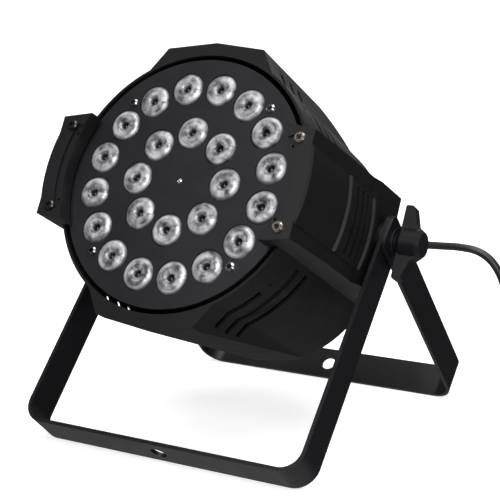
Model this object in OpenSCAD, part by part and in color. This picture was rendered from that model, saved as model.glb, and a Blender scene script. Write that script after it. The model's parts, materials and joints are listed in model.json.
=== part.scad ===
// Stage par light with round lamp plate, cast housing, side covers and a double floor bracket.
// The head is drawn level, with its axis along Y and the tilt pivot at the origin,
// and head_frame() then lifts it to the pivot and tilts its front up.
// The origin of the part is on the floor, under the middle of the stand.

/* [Pose] */
// Upward tilt of the head's front, in degrees
head_tilt = 27.8; // [0:0.1:40]
// Lean of the front bracket from upright, in degrees
front_lean = 42.4; // [38:0.1:48]

/* [Lamp plate] */
// Radius of the lamp plate
plate_r = 98.3; // [97:0.1:98.6]
// Radius of one lens
lens_r = 13; // [11:0.1:13]
// Radius of the outer ring of lenses
outer_ring_r = 75; // [74:0.5:76]
// Radius of the inner ring of lenses
inner_ring_r = 38.5; // [37:0.5:40]
// Number of lenses in the outer ring
outer_count = 16; // [12:1:16]
// Number of lenses in the inner ring
inner_count = 8; // [6:1:8]

/* [Housing] */
// Outer radius of the round rim
rim_r = 104; // [103:0.5:105]
// Wall thickness of the cast shells
shell_wall = 2; // [1.6:0.1:2.4]
// Distance from the lamp plate's face to the tilt pivot
pivot_depth = 116; // [112:1:120]
// Length of the housing from lamp plate to rear edge
housing_depth = 188; // [180:1:196]

/* [Brackets] */
// Width of the bracket strip
strip_w = 30; // [26:1:32]
// Thickness of the bracket strip
strip_t = 3; // [2.5:0.5:3]
// Half the outer width of the front bracket
front_half_w = 123.5; // [123:0.1:124]
// Distance from pivot to the outer face of the front bracket's bar
front_reach = 202.8; // [194:0.1:206]
// Height of the pivot above the head's own axis
pivot_rise = 4; // [0:0.1:6]
// Outer radius of the bracket's bends
bend_r = 18; // [12:1:22]
// Diameter of the clamp hole in the middle of each bar
bar_hole_d = 13; // [10:0.5:13]

/* [Mains lead] */
// Diameter of the mains lead
cord_d = 7; // [6:0.5:8]

/* [Hidden] */
$fn = 96;

// Outline of the housing: a circle with a low roof above and below
roof_half_w = 42.4;
roof_edge_z = 107.4;
roof_peak_z = 112.5;
roof_foot_x = 57;
roof_foot_z = 84.6;

// The stand
disc_t = 0.7;
disc_gap = 0.2;
rear_half_w = front_half_w + disc_t + disc_gap + strip_t;
rear_reach = front_reach + strip_t + 1;
pivot_z = front_reach * cos(front_lean) + strip_w / 2 * sin(front_lean);
rear_diagonal = norm([rear_reach, strip_w / 2]);
rear_lean = acos(pivot_z / rear_diagonal) + atan(strip_w / 2 / rear_reach);
arm_overrun = 17;
arm_corner_r = 6;
pivot_hole_d = 8.6;
locating_hole_d = 4.5;
locating_hole_at = 20;
rear_extent = rear_reach * sin(rear_lean) + strip_w / 2 * cos(rear_lean);
front_extent = pivot_depth * cos(head_tilt) + (roof_peak_z + pivot_rise) * sin(head_tilt);
pivot_y = (front_extent - rear_extent) / 2;

// Stations along the head's axis, measured from the pivot
plate_y = -pivot_depth;
plate_t = 2;
plate_screw_r = 85.7;
board_y = plate_y + 18;
board_t = 1.6;
sink_y = board_y + board_t;
sink_base_t = 6;
fin_depth = 34;
fan_y = sink_y + sink_base_t + fin_depth + 3;
fan_t = 20;
rear_y = plate_y + housing_depth;
panel_t = 2.5;
panel_r = 80;
panel_screw_r = 74.5;
panel_screw_angles = [20, 160, 200, 340];
panel_y = rear_y - 1 - panel_t;
panel_face = panel_y + panel_t;

// Housing shells
cavity_scale = (rim_r - shell_wall) / rim_r;
dome_start = -60;
dome_front_r = 117;
dome_rear_r = 84;
dome_steps = 22;
dome_power = 2.9;
// The belly's ridge climbs from here to the rear, and its two faces slope up to the sides
belly_climb_y = plate_y + 12;
belly_climb = 7;
belly_slope = 6.9;
casing_slot_half = 2.8;

// Side covers
cover_front_y = plate_y - 16;
cover_back_y = 26;
cover_inner_r = 95.6;
cover_panel_r = 114.4;
cover_rail_x = 110;
cover_flank_x = 117;
cover_half_h = 40.5;
cover_rail_z = 27;
cover_wall = 2.4;
cover_screw_x = 99.4;
cover_screw_z = 33;
cover_climb = 2.4;
vent_y = [-57, -47.5, -38];
vent_z = [-25, 27];
bush_r = 15;
bush_face_x = 119.4;

// Clamp knobs
stud_r = 4;
knob_x = 130.5;
knob_end_x = 151.5;
knob_wing = 29.5;

// Rear panel layout, as [x, z]
display_at = [-9, 54];
button_at = [[-33, 32], [-17, 32], [-1, 32], [15, 32]];
guard_at = [0, -4];
dmx_in_at = [-41, -44];
dmx_out_at = [-8, -53];
fuse_at = [24, -50];
gland_at = [46, 47];
lug_at = [-63, 0];
button_size = [9, 6];
button_corner = 1.5;
button_gap = 0.4;
connector_r = 11.8;
cord_bore = cord_d / 2;

// Mains lead: it leaves the gland, swings out to the right, drops to the floor
// and ends in a coil. The points are in the part's own frame.
cord_start = head_point([gland_at[0], panel_face + 6, gland_at[1]]);
relief_end = panel_face + 38;
relief_tip = head_point([gland_at[0], relief_end, gland_at[1]]);
cord_route = [cord_start, relief_tip,
              [49, 131, 139.8], [57, 142, 134.8], [70, 149, 131.8], [86, 152, 131],
              [104, 152, 131.5], [122, 152, 132], [138, 152, 130], [150, 152, 123.5],
              [159, 152, 112], [165, 151.5, 97], [169, 151, 78], [172, 150, 60],
              [176, 149, 42], [184, 148, 25], [196, 147, 12], [212, 146, 6],
              [230, 145.5, 5], [250, 145.5, 4.5]];
coil_at = [250, 96.5];
coil_mid_r = 42;
coil_width = 3 * cord_d;
coil_lift = 1;
coil_top = coil_lift + 2 * cord_d;
tail_z = coil_lift + 1.5 * cord_d;
plug_x = 302;
plug_back_y = 58;
plug_z = 12.5;
tail_route = [[299, 96.5, tail_z], [299.2, 86, tail_z], [300.2, 76, tail_z],
              [301.5, 67, plug_z], [plug_x, plug_back_y, plug_z]];
tie_angle = 200;

// A point of the level head's frame, in the part's own frame
function head_point(p) =
    let (up = p[2] - pivot_rise)
        [p[0], pivot_y + p[1] * cos(head_tilt) + up * sin(head_tilt),
         pivot_z - p[1] * sin(head_tilt) + up * cos(head_tilt)];

// ---------- frames and small helpers ----------

// Puts what is drawn about the pivot in its place, tilted with the head
module pivot_frame() {
    translate([0, pivot_y, pivot_z]) rotate([-head_tilt, 0, 0]) children();
}

// Puts the level head under the pivot and tilts its front up
module head_frame() {
    pivot_frame() translate([0, 0, -pivot_rise]) children();
}

// Extrudes an outline drawn in X and Z from y0 to y1
module along_y(y0, y1) {
    translate([0, y1, 0]) rotate([90, 0, 0]) linear_extrude(y1 - y0) children();
}

// Extrudes an outline drawn in Y and Z from x0 to x1
module along_x(x0, x1) {
    translate([x0, 0, 0]) rotate([90, 0, 90]) linear_extrude(x1 - x0) children();
}

// Round bar along Y
module rod_y(r, y0, y1, at = [0, 0]) {
    translate([at[0], y0, at[1]]) rotate([-90, 0, 0]) cylinder(r = r, h = y1 - y0);
}

// Round bar along X
module rod_x(r, x0, x1, at = [0, 0]) {
    translate([x0, at[0], at[1]]) rotate([0, 90, 0]) cylinder(r = r, h = x1 - x0);
}

// Turns a profile of [radius, y] points about the Y axis
module turn_y(points) {
    rotate([-90, 0, 0]) rotate_extrude() polygon(points);
}

// Turns a profile of [radius, y] points about Y, from angle a0 to a1 above +X
module turn_sector(points, a0, a1) {
    rotate([-90, 0, 0]) rotate([0, 0, -a1]) rotate_extrude(angle = a1 - a0) polygon(points);
}

// Turns a profile of [radius, x] points about the X axis
module turn_x(points) {
    rotate([90, 0, 90]) rotate_extrude() polygon(points);
}

// Copies a piece to the left and the right
module both_sides() {
    children();
    mirror([1, 0, 0]) children();
}

// Rectangle with round corners, about the origin
module round_rect(w, h, r) {
    square([w - 2 * r, h], center = true);
    square([w, h - 2 * r], center = true);
    for (sx = [-1, 1], sz = [-1, 1])
        translate([sx * (w / 2 - r), sz * (h / 2 - r)]) circle(r = r, $fn = 32);
}

// Places a child at each lens of one ring
module at_lenses(ring_r, count, first) {
    for (i = [0 : count - 1])
        let (a = first + i * 360 / count)
            translate([ring_r * cos(a), 0, ring_r * sin(a)]) children();
}

module at_all_lenses() {
    at_lenses(outer_ring_r, outer_count, 180 / outer_count) children();
    at_lenses(inner_ring_r, inner_count, 0) children();
}

// Places a child at each of the lamp plate's four screws
module at_plate_screws() {
    for (a = [45, 135, 225, 315])
        translate([plate_screw_r * cos(a), 0, plate_screw_r * sin(a)]) children();
}

// ---------- the stand ----------

// Outline of one arm's flat side, in Y (across) and Z (up), pivot at the origin
module arm_outline(reach) {
    difference() {
        union() {
            translate([-strip_w / 2, -reach]) square([strip_w, reach + arm_overrun - arm_corner_r]);
            translate([0, arm_overrun / 2 - reach / 2])
                round_rect(strip_w, reach + arm_overrun, arm_corner_r);
        }
        circle(d = pivot_hole_d);
        translate([0, -locating_hole_at]) circle(d = locating_hole_d, $fn = 32);
    }
}

// Cross-section of the bent strip, seen along its width: two arms and a bar
module strip_path(half_w, reach) {
    difference() {
        union() {
            translate([-half_w, bend_r - reach]) square([2 * half_w, reach + arm_overrun - bend_r]);
            translate([bend_r - half_w, -reach]) square([2 * (half_w - bend_r), reach]);
            for (s = [-1, 1]) translate([s * (half_w - bend_r), bend_r - reach]) circle(r = bend_r);
        }
        translate([strip_t - half_w, bend_r - reach])
            square([2 * (half_w - strip_t), reach + arm_overrun]);
        translate([bend_r - half_w, strip_t - reach])
            square([2 * (half_w - bend_r), reach]);
        for (s = [-1, 1])
            translate([s * (half_w - bend_r), bend_r - reach]) circle(r = bend_r - strip_t);
    }
}

// One U-shaped bracket hanging straight down from the pivot
module bracket(half_w, reach) {
    difference() {
        intersection() {
            along_y(-strip_w / 2, strip_w / 2) strip_path(half_w, reach);
            along_x(-half_w - 1, half_w + 1) arm_outline(reach);
        }
        translate([0, 0, -reach - 1]) cylinder(d = bar_hole_d, h = strip_t + 2);
    }
}

module front_bracket() {
    color([0.10, 0.10, 0.12])
        translate([0, pivot_y, pivot_z]) rotate([-front_lean, 0, 0])
            bracket(front_half_w, front_reach);
}

module rear_bracket() {
    color([0.10, 0.10, 0.12])
        translate([0, pivot_y, pivot_z]) rotate([rear_lean, 0, 0])
            bracket(rear_half_w, rear_reach);
}

// Thin fibre discs between the two brackets' arms
module bracket_discs() {
    color([0.25, 0.22, 0.2])
        translate([0, pivot_y, pivot_z]) both_sides() difference() {
            rod_x(13, front_half_w, front_half_w + disc_t);
            rod_x(pivot_hole_d / 2, front_half_w - 1, front_half_w + 2);
        }
}

// ---------- the housing ----------

// Round body with its low roof, at a share k of full size, from station y0 to y1
module housing_body(side, k, y0, y1) {
    rod_y(k * rim_r, y0, y1);
    along_y(y0, y1) polygon(k * [[-roof_foot_x, 0], [-roof_foot_x, side * roof_foot_z],
                                 [-roof_half_w, side * roof_edge_z], [0, side * roof_peak_z],
                                 [roof_half_w, side * roof_edge_z],
                                 [roof_foot_x, side * roof_foot_z], [roof_foot_x, 0]]);
}

// Envelope that rounds the housing off towards the rear, drawn in for the cavity
module rear_dome(inset) {
    turn_y([[0, plate_y - 1], [dome_front_r - inset, plate_y - 1],
            for (i = [0 : dome_steps])
                let (a = i / dome_steps)
                    [dome_r(a) - inset, dome_start + a * (rear_y - dome_start)],
            [0, rear_y]]);
}

// Radius of the envelope at a fraction of the way from dome_start to the rear edge
function dome_r(a) = dome_front_r - (dome_front_r - dome_rear_r) * pow(a, dome_power);

// Space under the belly, which climbs towards the rear
module under_belly(inset) {
    for (s = [-1, 1])
        translate([0, belly_climb_y, inset - roof_peak_z]) rotate([belly_climb, s * belly_slope, 0])
            translate([-120, -40, -80]) cube([240, 300, 80]);
}

// One half of the housing: side +1 is the upper shell, -1 the lower
module casing_half(side, slot_depths) {
    difference() {
        intersection() {
            housing_body(side, 1, plate_y, rear_y);
            rear_dome(0);
            translate([-200, -200, side > 0 ? 0 : -200]) cube([400, 400, 200]);
        }
        difference() {
            intersection() {
                housing_body(side, cavity_scale, plate_y + 3, rear_y - 6);
                rear_dome(shell_wall);
            }
            if (side < 0) under_belly(shell_wall);
        }
        if (side < 0) under_belly(0);
        rod_y(rim_r - shell_wall, plate_y - 1, plate_y + 4);
        rod_y(panel_r + 0.3, rear_y - 6.5, rear_y + 1);
        for (s = [0, 1], d = slot_depths)
            mirror([s, 0, 0]) casing_slot(side, d[0], d[1], d[2]);
        for (s = [0, 1])
            mirror([s, 0, 0]) rotate([0, side * -38, 0]) translate([rim_r - 1, plate_y + 23.5, 0])
                rotate([0, 90, 0]) cylinder(r = 1.6, h = 3, $fn = 24);
    }
}

// One long vent slot cut through the shell's side, from angle a0 to a1
module casing_slot(side, depth, a0, a1) {
    y = plate_y + depth;
    turn_sector([[rim_r - 8, y - casing_slot_half], [rim_r + 9, y - casing_slot_half],
                 [rim_r + 9, y + casing_slot_half], [rim_r - 8, y + casing_slot_half]],
                side > 0 ? a0 : -a1, side > 0 ? a1 : -a0);
}

module upper_casing() {
    color([0.11, 0.11, 0.11]) head_frame()
        casing_half(1, [[23.5, 43, 64], [39, 27, 64], [53.5, 27, 64], [68, 27, 55]]);
}

module lower_casing() {
    color([0.11, 0.11, 0.11]) head_frame()
        casing_half(-1, [[23.5, 43, 65], [39, 27, 65], [53.5, 27, 64]]);
}

// Outline of a side cover in X and Z, with slanting ends, up to a given height
module cover_outline(inset, top) {
    h = cover_half_h - inset;
    intersection() {
        polygon([[80, -h - 2.5], [92, -h - 2.5], [cover_flank_x + 3, -h + 2],
                 [cover_flank_x + 3, top - 2], [92, top + 2.5], [80, top + 2.5]]);
        circle(r = 128);
    }
}

// Space above a side cover: its upper edge climbs towards the rear
module above_cover() {
    translate([92, cover_front_y, cover_half_h + 2.5]) rotate([cover_climb, 9.1, 0])
        translate([-60, -20, 0]) cube([120, 240, 40]);
}

// Plan of a side cover in X and Y: it flares out from front to pivot
module cover_plan(inset, front) {
    polygon([[60, front], [cover_rail_x - inset, front],
             [cover_rail_x + 3.5 - inset, plate_y + 40], [cover_rail_x + 3.8 - inset, -33],
             [cover_flank_x - inset, -24],
             [cover_flank_x - inset, cover_back_y - 10], [cover_flank_x - 7 - inset, cover_back_y - inset],
             [60, cover_back_y - inset]]);
}

// Curved middle of the cover, a little proud of the rails, with a rib before and after the vents
module cover_middle() {
    intersection() {
        turn_sector([[cover_inner_r, cover_front_y], [cover_panel_r - 1.5, cover_front_y],
                     [cover_panel_r, cover_front_y + 1.5], [cover_panel_r + 3.2, -74.5],
                     [cover_panel_r + 5.2, -73], [cover_panel_r + 5.2, -70.5],
                     [cover_panel_r + 3.4, -69], [cover_panel_r + 3.5, -30],
                     [cover_panel_r + 5.4, -28.5], [cover_panel_r + 5.4, -26], [104, -24]],
                    -16.5, 16.5);
        translate([0, -200, -cover_rail_z - 2]) cube([200, 400, 2 * cover_rail_z + 4]);
    }
}

// Hollow right-hand cover
module side_cover() {
    difference() {
        union() {
            difference() {
                intersection() {
                    along_y(cover_front_y, cover_back_y) cover_outline(0, 56);
                    translate([0, 0, -60]) linear_extrude(120) cover_plan(0, cover_front_y);
                }
                above_cover();
            }
            cover_middle();
        }
        // Room for the housing and the lamp plate behind the front lip
        along_y(plate_y - 2.4, cover_back_y + 1) circle(r = rim_r + 0.15, $fn = 180);
        // Hollow behind the outer wall
        intersection() {
            along_y(cover_front_y + 3, cover_back_y - 3)
                cover_outline(cover_wall, cover_half_h - cover_wall);
            translate([0, 0, -60]) linear_extrude(120) cover_plan(3.4, cover_front_y + 1);
            rotate([-90, 0, 0]) translate([0, 0, -200]) difference() {
                cylinder(r = 130, h = 400);
                cylinder(r = rim_r - 4, h = 400);
            }
            translate([60, -200, -cover_half_h + cover_wall]) cube([90, 400, 2 * (cover_half_h - cover_wall)]);
        }
        // Round inner edge that looks over the lamp plate
        rod_y(cover_inner_r, cover_front_y - 1, cover_back_y);
        // Lower inner lip between the two corner tabs
        turn_sector([[90, cover_front_y - 1], [101, cover_front_y - 1], [101, cover_front_y + 2],
                     [90, cover_front_y + 2]], -20.5, 20.5);
        // Screw holes in the tabs, locating holes in the lip, vents and the bush's hole
        for (s = [-1, 1]) translate([cover_screw_x, 0, s * cover_screw_z])
            rod_y(1.7, cover_front_y - 1, cover_front_y + 20);
        for (a = [-16, 16]) rotate([0, -a, 0]) rod_y(1.1, cover_front_y - 1, cover_front_y + 4.5, [98.2, 0]);
        for (y = vent_y) translate([108, y - 1.8, vent_z[0]]) cube([16, 3.6, vent_z[1] - vent_z[0]]);
        rod_x(bush_r - 5, 90, 130, [0, pivot_rise]);
    }
}

module right_cover() {
    color([0.13, 0.13, 0.14]) head_frame() side_cover();
}

module left_cover() {
    color([0.13, 0.13, 0.14]) head_frame() mirror([1, 0, 0]) side_cover();
}

// Socket screws in the covers' corner tabs
module cover_screws() {
    color([0.75, 0.65, 0.45]) head_frame() both_sides() for (s = [-1, 1])
        translate([cover_screw_x, 0, s * cover_screw_z]) difference() {
            union() {
                turn_y([[0, cover_front_y - 2.2], [3.2, cover_front_y - 2.2],
                        [4.2, cover_front_y - 1.2], [4.2, cover_front_y], [0, cover_front_y]]);
                rod_y(1.6, cover_front_y - 0.1, cover_front_y + 15);
            }
            rotate([-90, 0, 0]) translate([0, 0, cover_front_y - 3]) cylinder(r = 2.2, h = 2.6, $fn = 6);
        }
}

// ---------- lamp plate and light engine ----------

module front_plate() {
    color([0.16, 0.16, 0.17]) head_frame() difference() {
        rod_y(plate_r, plate_y, plate_y + plate_t);
        at_all_lenses() rod_y(lens_r + 0.15, plate_y - 1, plate_y + 3);
        at_plate_screws() rod_y(2.2, plate_y - 1, plate_y + 3);
        rod_y(1.5, plate_y - 1, plate_y + 3);
        rotate([0, 12.7, 0]) rod_y(1.5, plate_y - 1, plate_y + 3, [89.5, 0]);
    }
}

module plate_screws() {
    color("silver") head_frame() at_plate_screws() difference() {
        union() {
            turn_y([[0, plate_y - 2.2], [2.4, plate_y - 2.0], [3.5, plate_y - 1], [3.6, plate_y],
                    [0, plate_y]]);
            rod_y(1.9, plate_y - 0.1, plate_y + 12);
        }
        rotate([-90, 0, 0]) translate([0, 0, plate_y - 3]) cylinder(r = 2, h = 2.6, $fn = 6);
    }
}

// Hollow posts that carry the lamp plate off the light engine
module plate_posts() {
    color([0.7, 0.7, 0.7]) head_frame() at_plate_screws() difference() {
        rod_y(4, plate_y + plate_t, board_y);
        rod_y(1.95, plate_y, board_y + 1);
    }
}

// One collimator lens: round front with a small well, and a cone behind
module lens() {
    color([0.9, 0.92, 0.95])
        turn_y([[0, plate_y + 2.5], [2.4, plate_y + 2.2], [2.8, plate_y - 0.9], [9, plate_y - 1.3],
                [lens_r - 1.2, plate_y - 0.9], [lens_r, plate_y + 0.4], [lens_r, plate_y + 3],
                [12.2, plate_y + 3], [4.6, plate_y + 15], [3.2, plate_y + 15],
                [2.6, plate_y + 10.5], [0, plate_y + 10]]);
}

module outer_lenses() {
    head_frame() at_lenses(outer_ring_r, outer_count, 180 / outer_count) lens();
}

module inner_lenses() {
    head_frame() at_lenses(inner_ring_r, inner_count, 0) lens();
}

module lens_holders() {
    color([0.08, 0.08, 0.08]) head_frame() at_all_lenses() difference() {
        rod_y(12.2, plate_y + 10, board_y);
        turn_y([[0, plate_y + 9], [9.3, plate_y + 9], [5, plate_y + 15.6], [5, board_y + 1],
                [0, board_y + 1]]);
    }
}

module leds() {
    color([0.95, 0.9, 0.6]) head_frame() at_all_lenses() {
        translate([-3.4, board_y - 1.2, -3.4]) cube([6.8, 1.2, 6.8]);
        turn_y([[0, board_y - 2.7], [1.4, board_y - 2.4], [2.1, board_y - 1.2], [0, board_y - 1.2]]);
    }
}

module led_board() {
    color([0.12, 0.12, 0.12]) head_frame() difference() {
        rod_y(92, board_y, board_y + board_t);
        rod_y(3, board_y - 1, board_y + board_t + 1);
    }
}

module heat_sink() {
    fin_pitch = 11;
    color([0.72, 0.73, 0.75]) head_frame() {
        difference() {
            rod_y(92, sink_y, sink_y + sink_base_t);
            rod_y(3, sink_y - 1, sink_y + sink_base_t + 1);
        }
        intersection() {
            rod_y(90, sink_y + sink_base_t, sink_y + sink_base_t + fin_depth);
            for (i = [-8 : 8])
                translate([i * fin_pitch - 1, sink_y + sink_base_t, -90])
                    cube([2, fin_depth, 180]);
        }
    }
}

// Sheet-metal ring that holds the fan, the power supply and the shells together
module chassis_plate() {
    y = fan_y + fan_t;
    color([0.6, 0.6, 0.62]) head_frame() difference() {
        rod_y(98, y, y + 2);
        rod_y(37, y - 1, y + 3);
        for (a = [30 : 60 : 330])
            rod_y(14, y - 1, y + 3, [66 * cos(a), 66 * sin(a)]);
    }
}

module fan_frame() {
    color([0.12, 0.12, 0.12]) head_frame() {
        difference() {
            along_y(fan_y, fan_y + fan_t) round_rect(80, 80, 6);
            rod_y(37.5, fan_y - 1, fan_y + fan_t + 1);
            for (sx = [-1, 1], sz = [-1, 1])
                rod_y(2.2, fan_y - 1, fan_y + fan_t + 1, [sx * 35.5, sz * 35.5]);
        }
        difference() {
            union() {
                rod_y(14, fan_y + fan_t - 3, fan_y + fan_t);
                for (a = [0, 90, 180, 270]) rotate([0, a, 0])
                    translate([10, fan_y + fan_t - 3, -2]) cube([28.5, 3, 4]);
            }
            rod_y(1.55, fan_y, fan_y + fan_t + 1);
        }
    }
}

module fan_rotor() {
    blade_count = 9;
    color([0.2, 0.2, 0.2]) head_frame() {
        turn_y([[0, fan_y + 2], [15, fan_y + 2], [16, fan_y + 3], [16, fan_y + 15], [0, fan_y + 15]]);
        rod_y(1.5, fan_y + 14, fan_y + 19.5);
        intersection() {
            rod_y(36, fan_y + 2, fan_y + 16);
            for (i = [0 : blade_count - 1])
                rotate([0, i * 360 / blade_count, 0])
                    translate([14, fan_y + 9, 0]) rotate([38, 0, 0])
                        translate([0, -0.8, -10]) cube([24, 1.6, 20]);
        }
    }
}

module power_supply() {
    y0 = fan_y + fan_t + 2;
    color([0.65, 0.66, 0.68]) head_frame() difference() {
        translate([-52, y0, -72]) cube([104, 40, 34]);
        for (i = [-5 : 5]) translate([i * 9 - 2, y0 + 5, -45]) cube([4, 30, 8]);
    }
}

module driver_board() {
    y0 = fan_y + fan_t + 2;
    color([0.1, 0.35, 0.2]) head_frame() {
        translate([-46, y0, 44]) cube([92, 44, 1.6]);
        for (x = [-30, -12, 6]) translate([x, y0 + 14, 45.6]) cylinder(r = 6, h = 16);
        translate([18, y0 + 8, 45.6]) cube([20, 24, 12]);
        translate([-40, y0 + 34, 45.6]) cube([60, 8, 9]);
    }
}

// Board behind the rear panel that carries the display and the key switches
module control_board() {
    color([0.1, 0.35, 0.2]) head_frame() {
        translate([display_at[0] - 36, panel_y - 13.6, 24]) cube([70, 1.6, 42]);
        for (p = button_at)
            translate([p[0] - 3, panel_y - 12, p[1] - 3]) cube([6, 4, 6]);
        for (x = [-42, 21], z = [41, 62])
            rod_y(2, panel_y - 12, panel_y, [x, z]);
    }
}

module display_module() {
    color([0.1, 0.1, 0.1]) head_frame()
        translate([display_at[0] - 25, panel_y - 12, display_at[1] - 9.5]) cube([50, 10, 19]);
}

// ---------- rear panel ----------

module connector_cutout(at) {
    rod_y(connector_r, panel_y - 1, panel_face + 1, at);
    for (s = [-1, 1]) rod_y(1.7, panel_y - 1, panel_face + 1, [at[0] + s * 9.5, at[1] + s * 12]);
}

module rear_panel() {
    color([0.12, 0.12, 0.12]) head_frame() difference() {
        rod_y(panel_r, panel_y, panel_face);
        along_y(panel_y - 1, panel_face + 1) {
            translate(display_at) round_rect(48, 20, 1.5);
            for (p = button_at) translate(p)
                round_rect(button_size[0] + 2 * button_gap, button_size[1] + 2 * button_gap, 1.8);
        }
        rod_y(23, panel_y - 1, panel_face + 1, guard_at);
        connector_cutout(dmx_in_at);
        connector_cutout(dmx_out_at);
        translate([dmx_out_at[0] - 4.4, panel_y - 1, dmx_out_at[1] + 8]) cube([8.8, panel_t + 2, 6.6]);
        rod_y(6.3, panel_y - 1, panel_face + 1, fuse_at);
        rod_y(6.3, panel_y - 1, panel_face + 1, gland_at);
        for (a = panel_screw_angles)
            rod_y(1.8, panel_y - 1, panel_face + 1, [panel_screw_r * cos(a), panel_screw_r * sin(a)]);
    }
}

module rear_screws() {
    color("silver") head_frame() {
        for (a = panel_screw_angles)
            translate([panel_screw_r * cos(a), 0, panel_screw_r * sin(a)]) small_screw(panel_face);
        for (at = [dmx_in_at, dmx_out_at], s = [-1, 1])
            translate([at[0] + s * 9.5, 0, at[1] + s * 12]) small_screw(panel_face + 2);
    }
}

// Pan-head screw driven in from the rear, its head resting at station y
module small_screw(y) {
    difference() {
        union() {
            turn_y([[0, y], [2.9, y], [2.8, y + 0.8], [1.8, y + 1.6], [0, y + 1.8]]);
            rod_y(1.5, y - 7, y + 0.1);
        }
        for (a = [0, 90]) rotate([0, a, 0]) translate([-1.6, y + 0.9, -0.3]) cube([3.2, 2, 0.6]);
    }
}

// Round grille over the fan outlet
module fan_guard() {
    color([0.3, 0.3, 0.3]) head_frame() translate([guard_at[0], 0, guard_at[1]]) {
        for (r = [9, 16, 23.5]) difference() {
            rod_y(r + 1, panel_face, panel_face + 1.5);
            rod_y(r - 1, panel_face - 1, panel_face + 2.5);
        }
        rod_y(3, panel_face, panel_face + 1.5);
        for (a = [45, 135, 225, 315]) rotate([0, a, 0])
            translate([2.5, panel_face, -1]) cube([21, 1.5, 2]);
    }
}

module display_window() {
    color([0.2, 0.03, 0.03]) head_frame() {
        along_y(panel_y - 1.5, panel_face + 0.4) translate(display_at) round_rect(47.4, 19.4, 1.3);
        along_y(panel_y - 2, panel_y) translate(display_at) round_rect(54, 22.5, 1.5);
    }
}

// One menu key: a cap in the panel's hole and a stem that meets its switch
module button(i) {
    color([0.2, 0.2, 0.22]) head_frame() translate([button_at[i][0], 0, button_at[i][1]]) {
        along_y(panel_y - 1.5, panel_face + 2.2) round_rect(button_size[0], button_size[1], button_corner);
        along_y(panel_y - 2.7, panel_y - 1.5) round_rect(11, 8, button_corner);
        rod_y(1.4, panel_y - 7, panel_y - 2.7);
    }
}

module button_1() { button(0); }
module button_2() { button(1); }
module button_3() { button(2); }
module button_4() { button(3); }

// Square flange of a data connector, with its round shell
module connector_body(at, shell_depth) {
    translate([at[0], 0, at[1]]) {
        difference() {
            along_y(panel_face, panel_face + 2) round_rect(26, 31, 2.5);
            rod_y(9.6, panel_face - 1, panel_face + 3);
            for (s = [-1, 1]) rod_y(1.7, panel_face - 1, panel_face + 3, [s * 9.5, s * 12]);
        }
        difference() {
            rod_y(11.4, panel_face - shell_depth, panel_face);
            rod_y(9.6, panel_face - shell_depth + 2, panel_face + 1);
        }
    }
}

module dmx_in() {
    color([0.2, 0.2, 0.2]) head_frame() {
        connector_body(dmx_in_at, 20);
        for (a = [-30, 90, 210])
            rod_y(1.2, panel_face - 18.5, panel_face - 7,
                  [dmx_in_at[0] + 4.2 * cos(a), dmx_in_at[1] - 4.2 * sin(a)]);
    }
}

module dmx_out() {
    color([0.2, 0.2, 0.2]) head_frame() {
        difference() {
            connector_body(dmx_out_at, 20);
            translate([dmx_out_at[0] - 4, panel_face - 30, dmx_out_at[1] + 9]) cube([8, 40, 5]);
        }
        translate([dmx_out_at[0], 0, dmx_out_at[1]]) difference() {
            rod_y(7.6, panel_face - 19, panel_face + 0.5);
            for (a = [-30, 90, 210])
                rod_y(1.4, panel_face - 15, panel_face + 1, [4.2 * cos(a), -4.2 * sin(a)]);
        }
    }
}

// Release tab of the data output
module dmx_latch() {
    color([0.5, 0.5, 0.52]) head_frame()
        translate([dmx_out_at[0] - 3.6, panel_face - 12, dmx_out_at[1] + 9.4]) cube([7.2, 15, 3.6]);
}

module fuse_holder() {
    color([0.1, 0.1, 0.1]) head_frame() translate([fuse_at[0], 0, fuse_at[1]]) difference() {
        union() {
            rod_y(8.5, panel_face, panel_face + 2);
            rod_y(6, panel_face - 28, panel_face);
        }
        rod_y(4.7, panel_face - 26, panel_face + 3);
    }
}

module fuse_cap() {
    color([0.14, 0.14, 0.14]) head_frame() translate([fuse_at[0], 0, fuse_at[1]]) difference() {
        union() {
            rod_y(7, panel_face + 2.3, panel_face + 7);
            rod_y(4.65, panel_face - 24, panel_face + 2.4);
        }
        translate([-8, panel_face + 5.6, -0.8]) cube([16, 3, 1.6]);
    }
}

// Steel lug for a safety cable
module safety_lug() {
    color([0.7, 0.7, 0.72]) head_frame() translate([lug_at[0], 0, lug_at[1]]) {
        difference() {
            union() {
                translate([-1.5, panel_face + 2, -10]) cube([3, 14, 20]);
                rod_x(10, -1.5, 1.5, [panel_face + 16, 0]);
            }
            rod_x(4.5, -3, 3, [panel_face + 16, 0]);
        }
        translate([-1.5, panel_face, -10]) cube([13, 2, 20]);
    }
}

module cord_gland() {
    color([0.08, 0.08, 0.08]) head_frame() translate([gland_at[0], 0, gland_at[1]]) difference() {
        union() {
            rod_y(6, panel_y - 8, panel_face);
            rotate([-90, 0, 0]) translate([0, 0, panel_y - 6]) cylinder(r = 9.5, h = 5, $fn = 6);
            rotate([-90, 0, 0]) translate([0, 0, panel_face]) cylinder(r = 10, h = 5, $fn = 6);
            turn_y([[0, panel_face + 5], [8.6, panel_face + 5], [8.6, panel_face + 9],
                    [6.6, panel_face + 14], [0, panel_face + 14]]);
        }
        rod_y(cord_bore, panel_y - 9, panel_face + 15);
    }
}

// Tapered boot around the first stretch of the lead
module strain_relief() {
    color([0.06, 0.06, 0.06]) head_frame() translate([gland_at[0], 0, gland_at[1]])
        turn_y([[cord_bore, panel_face + 14], [6.2, panel_face + 14], [4.6, relief_end],
                [cord_bore, relief_end]]);
}

// ---------- tilt pivot and clamps ----------

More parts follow.
